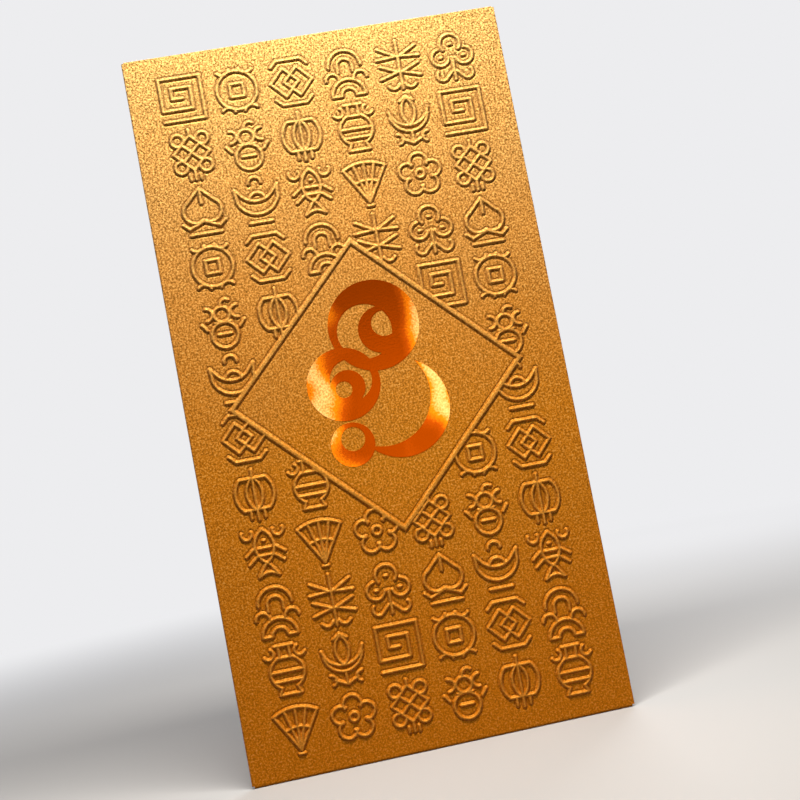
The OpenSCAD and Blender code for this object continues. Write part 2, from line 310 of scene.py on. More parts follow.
@dataclass(frozen=True)
class PearlCard:
    """Mica-coated gift card, pressed with a sand grain.

    Mica flakes in a clear binder give a satin gold. Its colour runs from deep amber at the foot to
    pale gold at the head, a painted reflection of light from above that also lifts the foot where
    the lamps' light falls off. The press plate's sand grain is a little under half a millimetre:
    its pits are darker, as painted shade, and pale mica flakes lie on its high points, partly their
    own tone and partly a painted glint. Painted shade darkens the groove at the foot of each ridge,
    and a painted highlight lightens each ridge's top. The painted shade of the grain and of the
    grooves is weaker towards the foot of the packet.
    """

    name: str = "mica_coated_gold_card"
    # Painted reflection: the colour runs from deep amber at the foot to pale gold at the head.
    foot: str = "#DC7C0C"
    middle: str = "#D27E18"
    head: str = "#B88F54"
    reflection_grade_mm: float = 170.0
    cloud_mm: float = 20.0
    cloud_share: float = 0.2
    grain_mm: float = 0.45
    grain_shade_at_foot: float = 0.5
    # Painted shade in the grain's pits; the next colour is the unshaded grain.
    painted_pit_shade: str = "#625846"
    open_grain: str = "#F4F4F4"
    # Pale mica flakes on the grain's high points: their own tone and a painted glint.
    flake_glint: str = "#FFE08C"
    flake_glint_share: float = 0.9
    mica_share: float = 0.45
    # Painted shade in the groove at the foot of each ridge.
    painted_groove_shade: str = "#3E0E00"
    groove_shade_share: float = 0.75
    groove_shade_at_foot: float = 0.2
    # Painted highlight on the top of each ridge.
    painted_highlight: str = "#F4DC84"
    painted_highlight_share: float = 0.32
    crest_highlight_share: float = 0.26
    grain_height_mm: float = 0.06
    edge_height_mm: float = 0.18
    roughness: float = 0.38
    ior: float = 1.6
    gloss_tint: str = "#FFC84C"

    def grade_with_painted_reflection(self, add: Adder, place: NodeSocket) -> tuple[NodeSocket, NodeSocket]:
        """Paints a reflection into the colour up the packet, with a soft drift of tone from place to
        place.

        Args:
            add: The function that adds a node to the material.
            place: The Object coordinates.

        Returns:
            The height as a share of the packet's, and the card's tone with its painted reflection.
        """
        height = add("SeparateXYZ", {"Vector": place}, "Z")
        share = add("MapRange", {"Value": height, "From Max": self.reflection_grade_mm * MM})
        scale = per_metre(self.cloud_mm)
        cloud = add("TexNoise", {"Vector": place, "Scale": scale, "Detail": 3.0})
        centre = -self.cloud_share / 2
        drift = add("Math", {0: cloud, 1: self.cloud_share, 2: centre}, operation="MULTIPLY_ADD")
        tone = add("Math", {0: share, 1: drift}, operation="ADD")
        # A painted reflection: deep amber at the foot, pale gold at the head.
        stops = ((0.05, self.foot), (0.42, self.middle), (0.97, self.head))
        return share, add("ValToRGB", {"Fac": tone}, stops=stops)

    def build(self) -> Material:
        """Makes the material: grain, painted shade, glint and highlight over the painted reflection.
        """
        material, add, place = new_material(self.name)
        share, tone_and_painted_reflection = self.grade_with_painted_reflection(add, place)
        grain = add(
            "TexNoise",
            {"Vector": place, "Scale": per_metre(self.grain_mm), "Detail": 2.5, "Roughness": 0.62},
        )
        groove_shade, crest, rise = (
            add("Attribute", out="Fac", attribute_name=mark) for mark in (GROOVE_SHADE, CREST, RISE)
        )
        # Painted shade: the grain is darker in its pits, where the relief is low.
        sand_stops = ((0.37, self.painted_pit_shade), (0.56, self.open_grain))
        sand = add("ValToRGB", {"Fac": grain}, stops=sand_stops)
        # Pale flakes on the grain's high points: mica tone and a painted glint.
        flake_glint = add(
            "MapRange",
            {"Value": grain, "From Min": 0.54, "From Max": 0.72, "To Max": self.flake_glint_share},
        )
        # How strong the painted shade of the grain and of the grooves is, weaker at the foot.
        grain_shade_strength, groove_shade_strength = (
            add("MapRange", {"Value": share, "To Min": low, "To Max": high})
            for low, high in ((self.grain_shade_at_foot, 1.0), (self.groove_shade_at_foot, self.groove_shade_share))
        )
        mica, ridge_highlight = (
            add("Mix", {0: part, 6: tone_and_painted_reflection, 7: linear(pale)}, 2, data_type="RGBA")
            for part, pale in ((self.mica_share, self.flake_glint), (self.painted_highlight_share, self.painted_highlight))
        )
        colour = tone_and_painted_reflection
        # Layers over the painted reflection: painted shade in the grain's pits, flakes with a
        # painted glint, a painted highlight on ridge tops, painted shade in the grooves.
        for blend, mask, strength, over in (
            ("MULTIPLY", 1.0, grain_shade_strength, sand),
            ("MIX", flake_glint, grain_shade_strength, mica),
            ("MIX", crest, self.crest_highlight_share, ridge_highlight),
            ("MIX", groove_shade, groove_shade_strength, linear(self.painted_groove_shade)),
        ):
            part = add("Math", {0: mask, 1: strength}, operation="MULTIPLY")
            layers = {0: part, 6: colour, 7: over}
            colour = add("Mix", layers, 2, data_type="RGBA", blend_type=blend)
        edge = self.edge_height_mm / self.grain_height_mm
        raised = add("Math", {0: rise, 1: edge, 2: grain}, operation="MULTIPLY_ADD")
        tint = linear(self.gloss_tint)
        gloss = {"Roughness": self.roughness, "IOR": self.ior, "Specular Tint": tint}
        add_surface(add, colour, raised, self.grain_height_mm, gloss)
        return material


@dataclass(frozen=True)
class StampedFoil:
    """Hot-stamped metallised film, lacquered orange.

    Aluminium under a dyed lacquer: a mirror that is deep rust red. Its colour runs to yellow in
    broad uneven bands, a painted reflection of the lamps on the mirror. The card's grain shows
    through it, so the bands break into specks at their edges.
    """

    name: str = "hot_stamped_orange_foil"
    # Painted reflection: the colours run from dark to bright across the bands.
    deep: str = "#923600"
    red: str = "#AC4404"
    orange: str = "#F47E0C"
    yellow: str = "#FFE692"
    reflection_band_mm: float = 29.0
    grain_mm: float = 0.5
    grain_height_mm: float = 0.02
    speck_share: float = 0.3
    full_at: float = 1.3
    roughness: float = 0.22

    def build(self) -> Material:
        """Makes the material: painted reflection bands with specked edges, and the card's grain as
        height.
        """
        material, add, place = new_material(self.name)
        # Painted reflection: the wave's bands stand in for the lamps seen in the mirror.
        band = add(
            "TexWave",
            {
                "Vector": place,
                "Scale": per_metre(self.reflection_band_mm) * math.tau / WAVE_UNIT,
                "Distortion": 3.0,
                "Detail": 1.0,
                "Detail Scale": 6.0,
            },
            "Fac",
        )
        scale = per_metre(self.grain_mm)
        grain = add("TexNoise", {"Vector": place, "Scale": scale, "Detail": 2.0})
        specked = add("Math", {0: grain, 1: self.speck_share, 2: band}, operation="MULTIPLY_ADD")
        tone = add("MapRange", {"Value": specked, "From Max": self.full_at})
        stops = ((0.3, self.deep), (0.55, self.red), (0.8, self.orange), (1.0, self.yellow))
        colour = add("ValToRGB", {"Fac": tone}, stops=stops)
        gloss = {"Metallic": 1.0, "Roughness": self.roughness}
        add_surface(add, colour, grain, self.grain_height_mm, gloss)
        return material


@dataclass(frozen=True)
class StreakedSheet:
    """A sheet or a dried film whose grain is drawn out one way, in colour and height.

    The values that have a default are those of an adhesive, rolled on across the packet.
    """

    name: str
    low: str
    high: str
    streak_mm: float
    roughness: float
    stretch: tuple[float, float, float] = (0.15, 1.0, 1.0)
    high_at: float = 0.65
    detail: float = 3.0
    harshness: float = 0.5
    height_mm: float = 0.02
    ior: float = 1.48

    def build(self) -> Material:
        """Makes the material: streaks between the low and the high colour."""
        material, add, place = new_material(self.name)
        streak = add(
            "TexNoise",
            {
                "Vector": add("Mapping", {"Vector": place, "Scale": self.stretch}),
                "Scale": per_metre(self.streak_mm),
                "Detail": self.detail,
                "Roughness": self.harshness,
            },
        )
        stops = ((0.35, self.low), (self.high_at, self.high))
        colour = add("ValToRGB", {"Fac": streak}, stops=stops)
        gloss = {"Roughness": self.roughness, "IOR": self.ior}
        add_surface(add, colour, streak, self.height_mm, gloss)
        return material


# Bleached pulp, not coated: matt and ivory, with felted fibres of about a millimetre.
CARD_REVERSE = StreakedSheet(
    name="uncoated_card_reverse",
    low="#E2DAC6",
    high="#F3EDDD",
    streak_mm=0.9,
    roughness=0.85,
    stretch=(1.0, 1.0, 0.35),
    high_at=0.62,
    detail=4.0,
    harshness=0.6,
    height_mm=0.012,
    ior=1.5,
)
# Vinyl glue pressed between two sheets: yellowish, with a dull streaky gloss.
GLUE = StreakedSheet("dried_vinyl_glue", "#D8CBA2", "#EDE3C4", 1.2, 0.45)
# Starch gum dried in the open: paler, with a wet-looking streaky gloss.
GUM = StreakedSheet("dried_starch_gum", "#D9CFAF", "#F1EAD2", 0.9, 0.22)


# The embossed face.


@dataclass(frozen=True)
class Ornament:
    """One embossed ornament as strokes, in hundredths of its height from its middle.

    Bars are (x1, z1, x2, z2) and arcs (x, z, radius, from, to), in degrees anticlockwise from +X.
    The mirrored ones also show as their mirror image across the upright axis.
    """

    bars: tuple = ()
    arcs: tuple = ()
    mirrored_bars: tuple = ()
    mirrored_arcs: tuple = ()

    def all_bars(self) -> np.ndarray:
        """The ornament's bars with their mirror images, one row each, in shares of its height."""
        rows = list(self.bars) + list(self.mirrored_bars)
        rows += [(-x1, z1, -x2, z2) for x1, z1, x2, z2 in self.mirrored_bars]
        return np.array(rows, float).reshape(-1, 4) / 100

    def all_arcs(self) -> np.ndarray:
        """The ornament's arcs with their mirror images, one row each, in shares of its height."""
        rows = list(self.arcs) + list(self.mirrored_arcs)
        rows += [(-x, z, r, 180 - b, 180 - a) for x, z, r, a, b in self.mirrored_arcs]
        return np.array(rows, float).reshape(-1, 5) / [100, 100, 100, 1, 1]


FRET = Ornament(
    bars=(
        (-40, -43, 40, -43), (40, -43, 40, 43), (40, 43, -40, 43), (-40, 43, -40, -21),
        (-40, -21, 19, -21), (19, -21, 19, 22), (19, 22, -19, 22), (-19, 22, -19, 1),
        (-19, 1, 1, 1),
    ),
)
COIN = Ornament(
    bars=((-13, -13, 13, -13), (-13, 13, 13, 13)),
    arcs=((0, 0, 39, 0, 360),),
    mirrored_bars=((13, -13, 13, 13),),
    mirrored_arcs=((23, 47, 14, 200, 320), (23, -47, 14, 40, 160)),
)
RUYI = Ornament(
    bars=((0, -2, 0, -47), (-2, 25, 2, 25)),
    arcs=((0, 26, 20, -35, 215),),
    mirrored_bars=((4, -30, 18, -44), (21, 0, 25, 0)),
    mirrored_arcs=((24, 0, 17, -170, 80), (25, -36, 11, 230, 400)),
)
PLUM = Ornament(
    arcs=((0, 25, 17, -25, 205), (0, 1, 8, 0, 360)),
    mirrored_arcs=((25, 8, 16, -97, 133), (15, -21, 17, 191, 421)),
)
KNOT = Ornament(
    bars=((0, 49, 0, 38), (0, -32, 0, -50)),
    mirrored_bars=((0, 38, 35, 3), (35, 3, 0, -32), (-17, 20, 18, -14), (10, -40, 10, -50)),
    mirrored_arcs=((24, 30, 12, -90, 180), (24, -24, 12, 180, 450)),
)
GOURD = Ornament(
    bars=((-15, 2, 15, 2), (-12, -21, 12, -21)),
    arcs=((0, -23, 25, 0, 360), (0, 17, 15, 0, 360), (10, 36, 10, 50, 180)),
    mirrored_bars=((32, -10, 41, 2),),
    mirrored_arcs=((30, 20, 12, 90, 270),),
)
LANTERN = Ornament(
    bars=((-23, 32, 23, 32), (-23, -28, 23, -28), (0, 49, 0, 32), (0, 32, 0, -48)),
    mirrored_bars=((13, -28, 13, -44),),
    mirrored_arcs=((-6, 2, 43, -44, 44), (-28, 2, 43, -44, 44)),
)
INGOT = Ornament(
    bars=((-22, -42, 22, -42),),
    arcs=((0, 16, 42, 196, 344), (0, 40, 40, 219, 321), (0, 2, 15, 0, 180)),
    mirrored_bars=((40, 5, 42, 28), (31, 15, 42, 28)),
    mirrored_arcs=((0, 36, 12, 0, 90),),
)
LOZENGE = Ornament(
    bars=((-24, 45, 24, 45), (-24, -45, 24, -45)),
    mirrored_bars=(
        (-14, 0, 14, 29), (14, 29, 41, 0), (41, 0, 14, -29), (14, -29, -14, 0), (24, 45, 36, 33),
        (24, -45, 36, -33),
    ),
)
FISH = Ornament(
    bars=((-11, 10, 11, 10), (-13, -4, 13, -4), (-1, 24, 1, 24)),
    arcs=((0, -62, 25, 52, 128),),
    mirrored_bars=((2, -19, 19, -44), (19, 12, 37, -2), (16, -4, 33, -18)),
    mirrored_arcs=((-20, 13, 38, -53, 60), (30, 40, 10, 160, 380)),
)
LOTUS = Ornament(
    bars=((0, -24, 0, -49),),
    arcs=((0, 14, 38, 190, 350),),
    mirrored_bars=((0, -49, 22, -38), (13, 38, 0, 47)),
    mirrored_arcs=((-24, 16, 37, -52, 46), (2, 26, 38, 265, 350), (30, -38, 10, 90, 250)),
)
WAVE = Ornament(
    arcs=((0, 14, 15, 0, 180), (0, 14, 32, 0, 180), (0, -46, 15, 0, 180), (0, -46, 33, 0, 180)),
    mirrored_bars=((15, 14, 15, 2), (15, -46, 33, -46)),
    mirrored_arcs=((28, -12, 13, 0, 180),),
)
FAN = Ornament(
    bars=((0, -40, 0, 41), (-5, -46, 5, -46)),
    arcs=((0, -40, 81, 59, 121), (0, -40, 45, 59, 121)),
    mirrored_bars=((0, -40, 41, 29), (0, -40, 21, 38)),
)
PEACH = Ornament(
    bars=((0, 44, 0, 14), (-30, -46, 30, -46)),
    mirrored_bars=((28, 16, 0, 44), (0, -22, 30, -34), (30, -34, 41, -24)),
    mirrored_arcs=((14, -1, 23, -125, 52),),
)
BAMBOO = Ornament(
    bars=((0, -49, 0, 49), (-8, 17, 8, 17), (-8, -15, 8, -15)),
    mirrored_bars=((4, 17, 38, 36), (4, 17, 42, 14), (4, -15, 38, 0), (4, -15, 40, -26)),
    mirrored_arcs=((17, -36, 12, 200, 330),),
)
VASE = Ornament(
    bars=(
        (-17, 47, 17, 47), (-20, -45, 20, -45), (-31, -2, 31, -2), (-25, -20, 25, -20),
        (-11, 24, 11, 24),
    ),
    mirrored_bars=((10, 47, 10, 24), (15, -32, 20, -45)),
    mirrored_arcs=((1, -4, 31, -63, 72), (30, 34, 10, 120, 330)),
)
ORNAMENTS = (
    FRET, LANTERN, PLUM, INGOT, BAMBOO, COIN, VASE, KNOT,
    FISH, RUYI, LOZENGE, LOTUS, GOURD, FAN, PEACH, WAVE,
)


def bar_distance(x: np.ndarray, z: np.ndarray, bars: np.ndarray) -> np.ndarray:
    """Distance from each point to the nearest straight stroke.

    The point is projected on the bar, the projection is held between the bar's ends, and the
    distance runs to that place.

    Args:
        x: Places across, in millimetres.
        z: Heights, in millimetres.
        bars: One bar a row, as x1, z1, x2, z2.

    Returns:
        The distances in the shape of x, infinite where there is no stroke.
    """
    start, run = bars[:, :2], bars[:, 2:] - bars[:, :2]
    gap_x, gap_z = x[..., None] - start[:, 0], z[..., None] - start[:, 1]
    share = np.clip((gap_x * run[:, 0] + gap_z * run[:, 1]) / np.sum(run**2, axis=1), 0, 1)
    away = np.hypot(gap_x - share * run[:, 0], gap_z - share * run[:, 1])
    return away.min(axis=-1, initial=np.inf)


def arc_distance(x: np.ndarray, z: np.ndarray, arcs: np.ndarray) -> np.ndarray:
    """Distance from each point to the nearest curved stroke.

    Within the arc's angles it is the difference between the point's radius and the arc's, and
    elsewhere it is the distance to the nearer end.

    Args:
        x: Places across, in millimetres.
        z: Heights, in millimetres.
        arcs: One arc a row, as x, z, radius, first angle, last angle.

    Returns:
        The distances in the shape of x, infinite where there is no stroke.
    """
    gap_x, gap_z = x[..., None] - arcs[:, 0], z[..., None] - arcs[:, 1]
    angle = np.degrees(np.arctan2(gap_z, gap_x))
    inside = (angle - arcs[:, 3]) % 360 <= arcs[:, 4] - arcs[:, 3]
    ring = np.abs(np.hypot(gap_x, gap_z) - arcs[:, 2])
    ends = [
        np.hypot(gap_x - arcs[:, 2] * np.cos(a), gap_z - arcs[:, 2] * np.sin(a))
        for a in (np.radians(arcs[:, 3]), np.radians(arcs[:, 4]))
    ]
    return np.where(inside, ring, np.minimum(*ends)).min(axis=-1, initial=np.inf)


@dataclass
class EmbossedFace:
    """The front panel: rows of ornaments and a diamond frame raised in the card.

    The face is a height over a grid of x and z. Each stroke raises a ridge with steep sides and a
    rounded top, and presses a groove at its foot. The panel is cut into bands between rows of
    ornaments, so that no mesh is too large.
    """

    gold: Material
    core: Material
    pitch: float = 0.17
    relief: float = 0.3
    stroke_w: float = 1.2
    side_w: float = 0.5
    crown_share: float = 0.25
    foot_w: float = 0.16
    foot_out: float = 0.05
    groove: float = 0.09
    crest_from: float = 0.45
    motif_h: float = 12.0
    motif_w: float = 10.56
    columns: int = 6
    rows: int = 12
    first_column: float = -32.52
    column_pitch: float = 13.008
    first_row: float = 159.2
    row_pitch: float = 13.47
    column_step: int = 5
    row_step: int = 7
    window_share: float = 0.6
    reach_share: float = 0.7
    diamond_z: float = 85.0
    diamond_side: float = 50.0
    diamond_ridge_w: float = 1.6
    band_rows: tuple[int, ...] = (1, 3, 5, 7, 9)

    def ridge(self, distance: np.ndarray, width: float) -> np.ndarray:
        """Height of a ridge at this distance from its middle line.

        The side is a smooth step over side_w, and the top is a low elliptic arc that takes
        crown_share of the height.

        Args:
            distance: Distance from the middle line.
            width: Width of the ridge at its foot.

        Returns:
            The height over the face.
        """
        side = ease((width / 2 - distance) / self.side_w)
        crown = np.sqrt(np.clip(1 - (2 * distance / width) ** 2, 0, 1))
        return self.relief * side * (1 - self.crown_share + self.crown_share * crown)

    def foot(self, distance: np.ndarray, width: float) -> np.ndarray:
        """How hard the card is grooved just outside a ridge, which also places the painted shade in
        the groove: a bell curve over the distance.
        """
        return np.exp(-(((distance - width / 2 - self.foot_out) / self.foot_w) ** 2))

    def frame_distance(self, x: np.ndarray, z: np.ndarray) -> np.ndarray:
        """Distance outside the middle line of the diamond's ridge, negative inside it."""
        middle = (self.diamond_side - self.diamond_ridge_w) / 2
        return (np.abs(x) + np.abs(z - self.diamond_z)) / math.sqrt(2) - middle

    def shows(self, x: float, z: float) -> bool:
        """True where enough of an ornament at this place reaches past the diamond."""
        reach = self.reach_share * (self.motif_w + self.motif_h) / 2
        return abs(x) + abs(z - self.diamond_z) + reach > self.diamond_side / math.sqrt(2)

    def height(self, x: np.ndarray, z: np.ndarray) -> tuple[np.ndarray, dict[str, np.ndarray]]:
        """Height of the face over a grid, and the marks that its material reads.

        Args:
            x: Places of the grid's columns.
            z: Heights of the grid's rows.

        Returns:
            The relief at each grid point, a row for each z, and the marks there: the groove at the
            foot of a ridge, which places painted shade, the crest of a ridge, which places a painted
            highlight, and the relief as a share of a ridge's.
        """
        relief = np.zeros((len(z), len(x)))
        groove_shade = np.zeros(relief.shape)
        window = self.motif_h * self.window_share
        for i, j in np.ndindex(self.columns, self.rows):
            middle_x = self.first_column + i * self.column_pitch
            middle_z = self.first_row - j * self.row_pitch
            if not self.shows(middle_x, middle_z):
                continue
            ornament = ORNAMENTS[(i * self.column_step + j * self.row_step) % len(ORNAMENTS)]
            across = np.flatnonzero(np.abs(x - middle_x) < window)
            up = np.flatnonzero(np.abs(z - middle_z) < window)
            near_x, near_z = np.meshgrid(x[across] - middle_x, z[up] - middle_z)
            away = np.minimum(
                bar_distance(near_x, near_z, ornament.all_bars() * self.motif_h),
                arc_distance(near_x, near_z, ornament.all_arcs() * ([self.motif_h] * 3 + [1, 1])),
            )
            kept = ease(self.frame_distance(near_x + middle_x, near_z + middle_z) / self.side_w)
            for field, drawn in ((relief, self.ridge), (groove_shade, self.foot)):
                part = drawn(away, self.stroke_w) * kept
                field[np.ix_(up, across)] = np.maximum(field[np.ix_(up, across)], part)
        from_frame = np.abs(self.frame_distance(*np.meshgrid(x, z)))
        relief = np.maximum(relief, self.ridge(from_frame, self.diamond_ridge_w))
        # The groove field both cuts the groove and places painted shade in it.
        groove_shade = np.where(from_frame < self.diamond_ridge_w / 2, 0, groove_shade)
        groove_shade = np.maximum(groove_shade, self.foot(from_frame, self.diamond_ridge_w))
        # The crest field places a painted highlight on the ridge tops.
        crest = ease((relief / self.relief - self.crest_from) / (1 - self.crest_from))
        groove_shade = groove_shade * (1 - crest)
        relief = relief - self.groove * groove_shade
        return relief, {GROOVE_SHADE: groove_shade, CREST: crest, RISE: relief / self.relief}

    def band(
        self, name: str, x: np.ndarray, z: np.ndarray, face_y: float, rear_y: float
    ) -> Object:
        """Makes one closed band of the panel, embossed in front and flat behind.

        Args:
            name: The piece's name.
            x: Places of the grid's columns.
            z: Heights of the band's rows.
            face_y: Depth of the unraised face.
            rear_y: Depth of the panel's rear.

        Returns:
            The new object.
        """
        relief, marks = self.height(x, z)
        grid_x, grid_z = np.meshgrid(x, z)
        points = np.stack([grid_x, face_y - relief, grid_z], axis=-1)
        on_rim = np.zeros(relief.shape, bool)
        on_rim[[0, -1], :] = on_rim[:, [0, -1]] = True
        rim_points = points[on_rim] * [1, 0, 1] + [0, rear_y, 0]
        front = np.arange(relief.size).reshape(relief.shape)
        rear = np.cumsum(on_rim).reshape(relief.shape) - 1 + relief.size
        face = grid_quads(*relief.shape).tolist()
        faces = face + closing_faces(front, rear)
        coated = np.arange(len(faces)) < len(face)
        piece = new_piece(
            name,
            np.concatenate([points.reshape(-1, 3), rim_points]),
            faces,
            [self.gold, self.core],
            np.where(coated, 0, 1),
            coated,
        )
        for mark, values in marks.items():
            attribute = piece.data.attributes.new(mark, "FLOAT", "POINT")
            share = np.concatenate([values.ravel(), np.zeros(len(rim_points))])
            attribute.data.foreach_set("value", share.astype(np.float32))
        return piece

    def build(self) -> None:
        """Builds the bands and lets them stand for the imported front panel."""
        low, high = box_mm("front_panel")
        face_y = low[1] + self.relief
        cuts = sorted(self.first_row - (row + 0.5) * self.row_pitch for row in self.band_rows)
        edges = [low[2], *cuts, high[2]]
        x = np.linspace(low[0], high[0], round((high[0] - low[0]) / self.pitch) + 1)
        for number, (start, end) in enumerate(zip(edges, edges[1:]), 1):
            z = np.linspace(start, end, round((end - start) / self.pitch) + 1)
            piece = self.band(f"embossed_face_{number}", x, z, face_y, high[1])
            add_piece(piece, Body.PACKET, "card_gold_face", "front_panel")


# Folded and flat card, and the pieces made from it.


def arc_points(middle: tuple[float, float], radius: float, angles: np.ndarray) -> np.ndarray:
    """Points on a circle at these angles in degrees, as rows of two coordinates."""
    turn = np.radians(angles)
    return np.array(middle) + radius * np.stack([np.cos(turn), np.sin(turn)], axis=1)


def flap_outline(
    half_w: float, fold_z: float, length: float, taper: float, corner_r: float
) -> np.ndarray:
    """Outline of a flap that hangs from its fold, or stands on it where the length is negative.

    The sides lean in by the taper over the length, and each free corner is a circle arc that
    touches the side and the free edge.

    Args:
        half_w: Half the width at the fold.
        fold_z: Height of the fold.
        length: Distance from the fold down to the free edge.
        taper: How much narrower the free edge is on each side.
        corner_r: Radius of the free corners.

    Returns:
        Corners as rows of x and z, anticlockwise seen from the front.
    """
    drop = abs(length)
    slant = math.degrees(math.atan(taper / drop))
    corner_x = half_w - taper - corner_r * math.tan(math.radians((90 - slant) / 2))
    bend = arc_points((corner_x, corner_r - drop), corner_r, np.linspace(-90, slant, CORNER_STEPS))
    right = np.concatenate([bend, [[half_w, 0]]])
    left = right[::-1] * [-1, 1]
    outline = np.concatenate([left, right])
    if length < 0:
        outline = outline[::-1] * [1, -1]
    return outline + [0, fold_z]


@dataclass
class CardWork:
    """Flat and bent pieces of the die-cut card: coated outside, bare inside and at cut edges."""

    gold: Material
    core: Material
    card_t: float = 0.25
    edge_round: float = 0.05
    bend_steps: int = 20

    def plate(self, name: str, outline: np.ndarray, front_y: float, coated: Side) -> Object:
        """Makes a flat panel: its outline at four depths, the outer two a little smaller.

        Args:
            name: The piece's name.
            outline: Corners as rows of x and z, anticlockwise seen from the front.
            front_y: Depth of the side that looks to the front.
            coated: The side that carries the metallic coating.

        Returns:
            The new object.
        """
        small = inset(outline, self.edge_round)
        steps = np.array([0, self.edge_round, self.card_t - self.edge_round, self.card_t])
        rings = [
            np.stack([ring[:, 0], np.full(len(ring), front_y + step), ring[:, 1]], axis=1)
            for ring, step in zip((small, outline, outline, small), steps)
        ]
        count = len(outline)
        corner = np.arange(count)
        after = np.roll(corner, -1)
        belt = np.stack([corner, corner + count, after + count, after], axis=1)
        belts = np.concatenate([belt + count * number for number in range(3)])
        faces = [corner.tolist(), (corner[::-1] + 3 * count).tolist(), *belts.tolist()]
        # The number of the coated face, and that of the first face round its edge.
        skin = (0, 2) if coated is Side.FRONT else (1, 2 + 2 * count)
        material = np.ones(len(faces), int)
        material[skin[0]] = 0
        material[skin[1] : skin[1] + count] = 0
        return new_piece(name, np.concatenate(rings), faces, [self.gold, self.core], material)

    def bent(self, name: str, outer: np.ndarray, inner: np.ndarray, run: np.ndarray) -> Object:
        """Carries a section of bent card along a straight path.

        Args:
            name: The piece's name.
            outer: The section's coated side, anticlockwise seen against the run.
            inner: The section's bare side, from the outer side's end back to its start.
            run: The way from the first section to the last one.

        Returns:
            The new object.
        """
        section = np.concatenate([outer, inner])
        count = len(section)
        corner = np.arange(count)
        after = np.roll(corner, -1)
        sides = np.stack([corner, after, after + count, corner + count], axis=1)
        faces = [corner[::-1].tolist(), (corner + count).tolist(), *sides.tolist()]
        coated = corner < len(outer) - 1
        cut = (corner == len(outer) - 1) | (corner == count - 1)
        return new_piece(
            name,
            np.concatenate([section, section + run]),
            faces,
            [self.gold, self.core],
            np.concatenate([[1, 1], np.where(coated, 0, 1)]),
            np.concatenate([[False, False], ~cut]),
        )

    def half_tube(
        self,
        name: str,
        middle: tuple[float, float],
        radius: float,
        first_angle: float,
        axis: int,
        span: tuple[float, float],
    ) -> Object:
        """Makes a fold: half a tube of card, carried along one axis.

        Args:
            name: The piece's name.
            middle: The middle of the tube, in the other two axes.
            radius: Its outer radius.
            first_angle: The angle in degrees where the half circle starts.
            axis: The number of the axis that it is carried along.
            span: Where it starts and ends on that axis.

        Returns:
            The new object.
        """
        angles = first_angle + np.linspace(0, 180, self.bend_steps)
        outer, inner = (
            np.insert(arc_points(middle, reach, turn), axis, span[0], axis=1)
            for reach, turn in ((radius, angles), (radius - self.card_t, angles[::-1]))
        )
        return self.bent(name, outer, inner, np.eye(3)[axis] * (span[1] - span[0]))


def add_piece(piece: Object, body: Body, slot: str, *nodes: str) -> None:
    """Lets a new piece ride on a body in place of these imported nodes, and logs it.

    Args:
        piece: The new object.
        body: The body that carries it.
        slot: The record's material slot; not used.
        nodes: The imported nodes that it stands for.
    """
    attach(piece, body.value)
    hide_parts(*nodes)
    LOG.info("%s on %s: %d faces", piece.name, body.value, len(piece.data.polygons))


def box_mm(node: str) -> tuple[np.ndarray, np.ndarray]:
    """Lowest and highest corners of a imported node, in millimetres."""
    low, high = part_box(node)
    return np.array(low) / MM, np.array(high) / MM


@dataclass
class Pocket:
    """The panels and folds behind the face: side folds, back, seam tab, bottom fold and flap."""

    card: CardWork
    mouth_drop: float = 4.0
    mouth_shoulder_w: float = 5.0
    tab_slope: float = 5.0
    bottom_taper: float = 5.0
    bottom_corner_r: float = 3.0

    def mouth(self) -> float:
        """Height of the mouth's edge, under the top of the packet."""
        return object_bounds()[1][2] / MM - self.mouth_drop

    def side_fold(self, node: str, at_left: bool) -> Object:
        """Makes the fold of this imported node, which bulges towards -X at the viewer's left."""
        low, high = box_mm(node)
        radius = (high[1] - low[1]) / 2
        middle = (high[0] if at_left else low[0], low[1] + radius)
        name = node.replace("side_fold", "side_bend")
        start = 90 if at_left else -90
        return self.card.half_tube(name, middle, radius, start, 2, (low[2], high[2]))

    def bottom_bend(self) -> Object:
        """Makes the bottom fold, which bulges down."""
        low, high = box_mm("bottom_fold")
        radius = (high[1] - low[1]) / 2
        middle = (low[1] + radius, low[2] + radius)
        return self.card.half_tube("bottom_bend", middle, radius, 180, 0, (low[0], high[0]))

    def back(self) -> Object:
        """Makes the back panel, its mouth cut lower than the side fold it hangs on."""
        low, high = box_mm("back_panel")
        outline = [
            (low[0], low[2]),
            (high[0], low[2]),
            (high[0], self.mouth()),
            (low[0] + self.mouth_shoulder_w, self.mouth()),
            (low[0], high[2]),
        ]
        return self.card.plate("back_sheet", np.array(outline), low[1], Side.BACK)

    def tab(self) -> Object:
        """Makes the seam tab, its ends sloping in from the side fold."""
        low, high = box_mm("side_seam_tab")
        outline = [
            (high[0], low[2]),
            (high[0], high[2]),
            (low[0], self.mouth() - self.tab_slope),
            (low[0], low[2] + self.tab_slope),
        ]
        return self.card.plate("seam_tab_sheet", np.array(outline), low[1], Side.BACK)

    def flap(self) -> Object:
        """Makes the bottom flap, glued up the outside of the back."""
        low, high = box_mm("bottom_flap")
        outline = flap_outline(
            high[0], low[2], low[2] - high[2], self.bottom_taper, self.bottom_corner_r
        )
        return self.card.plate("bottom_flap_sheet", outline, low[1], Side.BACK)

    def build(self) -> None:
        """Builds the pocket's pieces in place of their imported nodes."""
        gold = "card_gold_face"
        for node, at_left in (("left_side_fold", True), ("right_side_fold", False)):
            add_piece(self.side_fold(node, at_left), Body.PACKET, gold, node)
        add_piece(self.back(), Body.PACKET, "card_gold_back", "back_panel")
        add_piece(self.tab(), Body.PACKET, "card_reverse", "side_seam_tab")
        add_piece(self.bottom_bend(), Body.PACKET, gold, "bottom_fold")
        add_piece(self.flap(), Body.PACKET, "card_gold_back", "bottom_flap")


